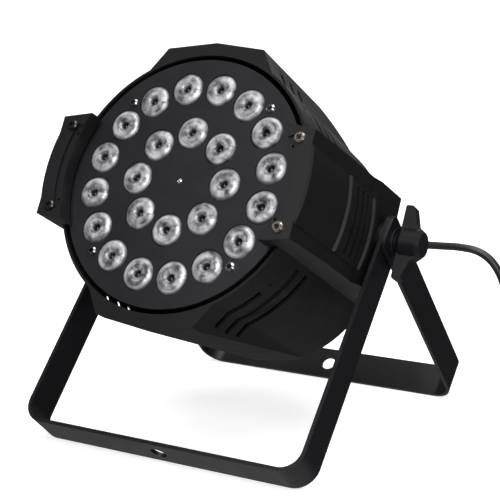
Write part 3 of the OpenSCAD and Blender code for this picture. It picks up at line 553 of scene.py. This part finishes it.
def make_surroundings():
    """White floor, soft lamps, a wide panel overhead, and a room that is white to the camera only."""
    n = Nodes("floor_paper")
    tone = n.ramp(n.noise(3, 2), [(0.3, grey(0.93)), (0.7, grey(0.95))])
    paper = n.finish(Base_Color=tone, Roughness=0.9, Emission_Color=(1, 1, 1, 1),
                     Emission_Strength=FLOOR_GLOW)
    mesh = bpy.data.meshes.new("floor")
    size = FLOOR_HALF_WIDTH
    mesh.from_pydata([(-size, -size, 0), (size, -size, 0), (size, size, 0), (-size, size, 0)],
                     [], [(0, 1, 2, 3)])
    mesh.materials.append(paper)
    floor = bpy.data.objects.new("floor", mesh)
    floor.visible_glossy = False
    bpy.context.scene.collection.objects.link(floor)

    world = bpy.data.worlds.new("studio")
    world.use_nodes = True
    tree = world.node_tree
    place = tree.nodes.new("ShaderNodeTexCoord")
    height = tree.nodes.new("ShaderNodeSeparateXYZ")
    tree.links.new(place.outputs["Generated"], height.inputs[0])
    centred = tree.nodes.new("ShaderNodeMapRange")
    centred.inputs["From Min"].default_value = -1
    tree.links.new(height.outputs["Z"], centred.inputs["Value"])
    bands = tree.nodes.new("ShaderNodeValToRGB")
    elements = bands.color_ramp.elements
    while len(elements) < len(ROOM_BANDS):
        elements.new(0.5)
    for element, (z, tone) in zip(elements, ROOM_BANDS):
        element.position, element.color = (z + 1) / 2, (*grey(tone), 1)
    tree.links.new(centred.outputs["Result"], bands.inputs["Fac"])
    seen = tree.nodes.new("ShaderNodeMix")
    seen.data_type = "RGBA"
    rays = tree.nodes.new("ShaderNodeLightPath")
    tree.links.new(rays.outputs["Is Camera Ray"], seen.inputs[0])
    tree.links.new(bands.outputs["Color"], seen.inputs[6])
    seen.inputs[7].default_value = (1, 1, 1, 1)
    tree.links.new(seen.outputs[2], tree.nodes["Background"].inputs["Color"])
    tree.nodes["Background"].inputs["Strength"].default_value = ROOM_STRENGTH
    bpy.context.scene.world = world

    middle = Vector(LAMPS_AIM)
    for name, place, energy, size in LAMPS:
        data = bpy.data.lights.new(name, "AREA")
        data.energy, data.size = energy, size
        lamp = bpy.data.objects.new(name, data)
        lamp.location = place
        lamp.rotation_euler = (middle - Vector(place)).to_track_quat("-Z", "Y").to_euler()
        bpy.context.scene.collection.objects.link(lamp)
    sun_data = bpy.data.lights.new("overhead_panel", "SUN")
    sun_data.energy, sun_data.angle = SUN_STRENGTH, math.radians(SUN_ANGLE)
    sun = bpy.data.objects.new("overhead_panel", sun_data)
    sun.rotation_euler = (math.radians(SUN_LEAN[0]), math.radians(SUN_LEAN[1]), 0)
    bpy.context.scene.collection.objects.link(sun)
    bpy.context.scene.view_settings.view_transform = "Standard"


# ---------- the light, dressed ----------

make_camera()
make_mains_lead(rubber("cord_sheath", (0.011, 0.011, 0.012), 0.34))
make_boot(rubber("boot_sheath", (0.014, 0.014, 0.014), 0.5))

casing = coat("casing_coat", 0.0035, 0.0055, 0.6, 1500, 0.10 * MM, 1.1, 0, 0.26)
cover = coat("cover_coat", 0.004, 0.006, 0.46, 1500, 0.07 * MM, 1.2, 0, 0.36)
bracket = coat("bracket_coat", 0.004, 0.006, 0.36, 1100, 0.05 * MM, 1.35, 0, 0.45)
plate = coat("plate_coat", 0.0055, 0.0085, 0.4, 1800, 0.03 * MM, 1.3)
panel = coat("panel_coat", 0.008, 0.012, 0.5, 1500, 0.06 * MM)
steel = metal("zinc_steel", (0.55, 0.56, 0.58), 0.34)
chrome = metal("bright_chrome", (0.82, 0.82, 0.84), 0.14)
# The last number of each of these two calls is how far painted shade darkens the heads on
# left_cover's side
cover_screw = socket_screw("plated_socket", (0.62, 0.56, 0.5), 0.26,
                           [(x * COVER_SCREW_X, z * COVER_SCREW_Z) for x in (-1, 1)
                            for z in (-1, 1)], 2 * MM, 0.85)
plate_screw = socket_screw("chrome_socket", (0.8, 0.8, 0.82), 0.16,
                           [(PLATE_SCREW_R * math.cos(a), PLATE_SCREW_R * math.sin(a))
                            for a in PLATE_SCREW_ANGLES], 1.9 * MM, 0.5)
black_metal = coat("black_anodise", 0.012, 0.018, 0.42, 1600, 0.02 * MM, 1.0, 0.6)
black_plastic = plastic("moulded_black", (0.014, 0.014, 0.015), 0.46)
knob_plastic = plastic("knob_black", (0.004, 0.004, 0.0052), 0.42, 1300, 0.02 * MM, 0.25)
board_green = plastic("board_green", (0.02, 0.12, 0.05), 0.35)
board_dark = plastic("board_dark", (0.012, 0.012, 0.012), 0.5)
phosphor = plastic("led_domes", (0.75, 0.62, 0.2), 0.25)
fibre = rubber("friction_fibre", (0.03, 0.026, 0.022), 0.8)

dress(casing, "upper_casing", "lower_casing")
dress(cover, "left_cover", "right_cover")
dress(bracket, "front_bracket", "rear_bracket")
dress(plate, "front_plate")
dress(panel, "rear_panel")
dress(cover_screw, "cover_screws")
dress(plate_screw, "plate_screws")
dress(chrome, "rear_screws")
dress(steel, "plate_posts", "power_supply", "safety_lug", "dmx_latch")
dress(black_metal, "heat_sink", "dmx_in", "dmx_out", "fan_guard", "pivot_bushes",
      "chassis_plate", "left_clamp_bolt", "right_clamp_bolt")
dress(black_plastic, "lens_holders", "fan_frame", "fan_rotor", "display_module", "fuse_holder",
      "fuse_cap", "cord_gland", "button_1", "button_2", "button_3", "button_4")
dress(knob_plastic, "left_knob", "right_knob")
dress(board_green, "driver_board", "control_board")
dress(board_dark, "led_board")
dress(phosphor, "leds")
dress(fibre, "bracket_discs", "pivot_discs")
dress(window_material(), "display_window")
dress(strap_material(), "cord_tie")
dress(plug_material(), "power_plug")

# The lenses' silvery look, rings and dark wells are painted reflection and shade
lens_painted_reflections = lens_material()
make_lenses("outer_lens_dishes", "outer_lenses", OUTER_RING_R, OUTER_COUNT,
            math.pi / OUTER_COUNT, lens_painted_reflections)
make_lenses("inner_lens_dishes", "inner_lenses", INNER_RING_R, INNER_COUNT, 0, lens_painted_reflections)

make_centre_screw(chrome)
# A black sheet of painted shade behind the lower right vents
make_vent_shade_sheet(black_plastic)

soften(["front_bracket", "rear_bracket"], 0.6 * MM)
soften(["left_cover", "right_cover"], 0.7 * MM)
soften(["upper_casing", "lower_casing"], 0.5 * MM)
soften(["left_knob", "right_knob"], 1.2 * MM)
soften(["front_plate", "rear_panel", "button_1", "button_2", "button_3", "button_4",
        "dmx_in", "dmx_out", "fuse_cap", "cord_gland", "safety_lug"], 0.3 * MM)
soften(["power_plug"], 0.8 * MM)

make_surroundings()
